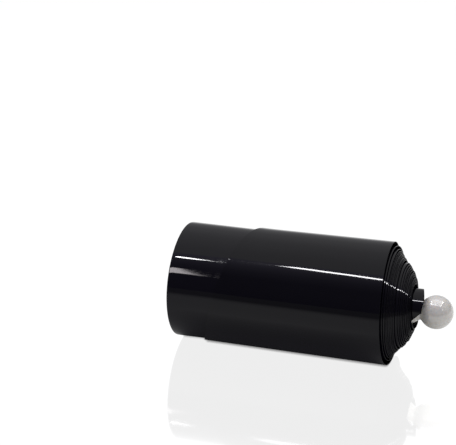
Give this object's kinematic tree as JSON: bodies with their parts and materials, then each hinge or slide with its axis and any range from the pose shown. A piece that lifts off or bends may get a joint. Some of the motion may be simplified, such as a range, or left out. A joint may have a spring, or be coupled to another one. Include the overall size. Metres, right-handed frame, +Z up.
{
  "type": "collapsible magic cane",
  "caption": "Magic cane of springy glossy film wound in a roll that telescopes turn by turn into a long tapering tube, with a ball-ended tip at its core.",
  "frame": {"origin": "centre of the bounding box at its base, where the closed roll lies on its side", "axes": "+X along the roll's axis towards the ball, +Z up, +Y across the roll"},
  "size_m": [0.1284, 0.0574, 0.0566],
  "materials": {
    "band_film": "high-gloss black film",
    "tip_plastic": "milky white, polished"
  },
  "bodies": {
    "turn_01": {"band_turn_01": "band_film"},
    "turn_02": {"band_turn_02": "band_film"},
    "turn_03": {"band_turn_03": "band_film"},
    "turn_04": {"band_turn_04": "band_film"},
    "turn_05": {"band_turn_05": "band_film"},
    "turn_06": {"band_turn_06": "band_film"},
    "turn_07": {"band_turn_07": "band_film"},
    "turn_08": {"band_turn_08": "band_film"},
    "turn_09": {"band_turn_09": "band_film"},
    "turn_10": {"band_turn_10": "band_film"},
    "turn_11": {"band_turn_11": "band_film"},
    "turn_12": {"band_turn_12": "band_film"},
    "turn_13": {"band_turn_13": "band_film"},
    "turn_14": {"band_turn_14": "band_film"},
    "turn_15": {"band_turn_15": "band_film"},
    "turn_16": {"band_turn_16": "band_film"},
    "turn_17": {"band_turn_17": "band_film"},
    "turn_18": {"band_turn_18": "band_film"},
    "turn_19": {"band_turn_19": "band_film"},
    "turn_20": {"band_turn_20": "band_film"},
    "turn_21": {"band_turn_21": "band_film"},
    "turn_22": {"band_turn_22": "band_film"},
    "turn_23": {"band_turn_23": "band_film"},
    "turn_24": {"band_turn_24": "band_film", "ball_tip": "tip_plastic"}
  },
  "joints": [
    {"name": "slide_02", "type": "slide", "parent": "turn_01", "child": "turn_02", "axis": [1, 0, 0], "range_m": [0, 0.042]},
    {"name": "slide_03", "type": "slide", "parent": "turn_02", "child": "turn_03", "axis": [1, 0, 0], "range_m": [0, 0.042]},
    {"name": "slide_04", "type": "slide", "parent": "turn_03", "child": "turn_04", "axis": [1, 0, 0], "range_m": [0, 0.042]},
    {"name": "slide_05", "type": "slide", "parent": "turn_04", "child": "turn_05", "axis": [1, 0, 0], "range_m": [0, 0.042]},
    {"name": "slide_06", "type": "slide", "parent": "turn_05", "child": "turn_06", "axis": [1, 0, 0], "range_m": [0, 0.042]},
    {"name": "slide_07", "type": "slide", "parent": "turn_06", "child": "turn_07", "axis": [1, 0, 0], "range_m": [0, 0.042]},
    {"name": "slide_08", "type": "slide", "parent": "turn_07", "child": "turn_08", "axis": [1, 0, 0], "range_m": [0, 0.042]},
    {"name": "slide_09", "type": "slide", "parent": "turn_08", "child": "turn_09", "axis": [1, 0, 0], "range_m": [0, 0.042]},
    {"name": "slide_10", "type": "slide", "parent": "turn_09", "child": "turn_10", "axis": [1, 0, 0], "range_m": [0, 0.042]},
    {"name": "slide_11", "type": "slide", "parent": "turn_10", "child": "turn_11", "axis": [1, 0, 0], "range_m": [0, 0.042]},
    {"name": "slide_12", "type": "slide", "parent": "turn_11", "child": "turn_12", "axis": [1, 0, 0], "range_m": [0, 0.042]},
    {"name": "slide_13", "type": "slide", "parent": "turn_12", "child": "turn_13", "axis": [1, 0, 0], "range_m": [0, 0.042]},
    {"name": "slide_14", "type": "slide", "parent": "turn_13", "child": "turn_14", "axis": [1, 0, 0], "range_m": [0, 0.042]},
    {"name": "slide_15", "type": "slide", "parent": "turn_14", "child": "turn_15", "axis": [1, 0, 0], "range_m": [0, 0.042]},
    {"name": "slide_16", "type": "slide", "parent": "turn_15", "child": "turn_16", "axis": [1, 0, 0], "range_m": [0, 0.042]},
    {"name": "slide_17", "type": "slide", "parent": "turn_16", "child": "turn_17", "axis": [1, 0, 0], "range_m": [0, 0.042]},
    {"name": "slide_18", "type": "slide", "parent": "turn_17", "child": "turn_18", "axis": [1, 0, 0], "range_m": [0, 0.042]},
    {"name": "slide_19", "type": "slide", "parent": "turn_18", "child": "turn_19", "axis": [1, 0, 0], "range_m": [0, 0.042]},
    {"name": "slide_20", "type": "slide", "parent": "turn_19", "child": "turn_20", "axis": [1, 0, 0], "range_m": [0, 0.042]},
    {"name": "slide_21", "type": "slide", "parent": "turn_20", "child": "turn_21", "axis": [1, 0, 0], "range_m": [0, 0.042]},
    {"name": "slide_22", "type": "slide", "parent": "turn_21", "child": "turn_22", "axis": [1, 0, 0], "range_m": [0, 0.042]},
    {"name": "slide_23", "type": "slide", "parent": "turn_22", "child": "turn_23", "axis": [1, 0, 0], "range_m": [0, 0.042]},
    {"name": "slide_24", "type": "slide", "parent": "turn_23", "child": "turn_24", "axis": [1, 0, 0], "range_m": [0, 0.042]}
  ],
  "couplings": [
    {"joint": "slide_03", "follows": "slide_02", "ratio": 1},
    {"joint": "slide_04", "follows": "slide_02", "ratio": 1},
    {"joint": "slide_05", "follows": "slide_02", "ratio": 1},
    {"joint": "slide_06", "follows": "slide_02", "ratio": 1},
    {"joint": "slide_07", "follows": "slide_02", "ratio": 1},
    {"joint": "slide_08", "follows": "slide_02", "ratio": 1},
    {"joint": "slide_09", "follows": "slide_02", "ratio": 1},
    {"joint": "slide_10", "follows": "slide_02", "ratio": 1},
    {"joint": "slide_11", "follows": "slide_02", "ratio": 1},
    {"joint": "slide_12", "follows": "slide_02", "ratio": 1},
    {"joint": "slide_13", "follows": "slide_02", "ratio": 1},
    {"joint": "slide_14", "follows": "slide_02", "ratio": 1},
    {"joint": "slide_15", "follows": "slide_02", "ratio": 1},
    {"joint": "slide_16", "follows": "slide_02", "ratio": 1},
    {"joint": "slide_17", "follows": "slide_02", "ratio": 1},
    {"joint": "slide_18", "follows": "slide_02", "ratio": 1},
    {"joint": "slide_19", "follows": "slide_02", "ratio": 1},
    {"joint": "slide_20", "follows": "slide_02", "ratio": 1},
    {"joint": "slide_21", "follows": "slide_02", "ratio": 1},
    {"joint": "slide_22", "follows": "slide_02", "ratio": 1},
    {"joint": "slide_23", "follows": "slide_02", "ratio": 1},
    {"joint": "slide_24", "follows": "slide_02", "ratio": 1}
  ]
}
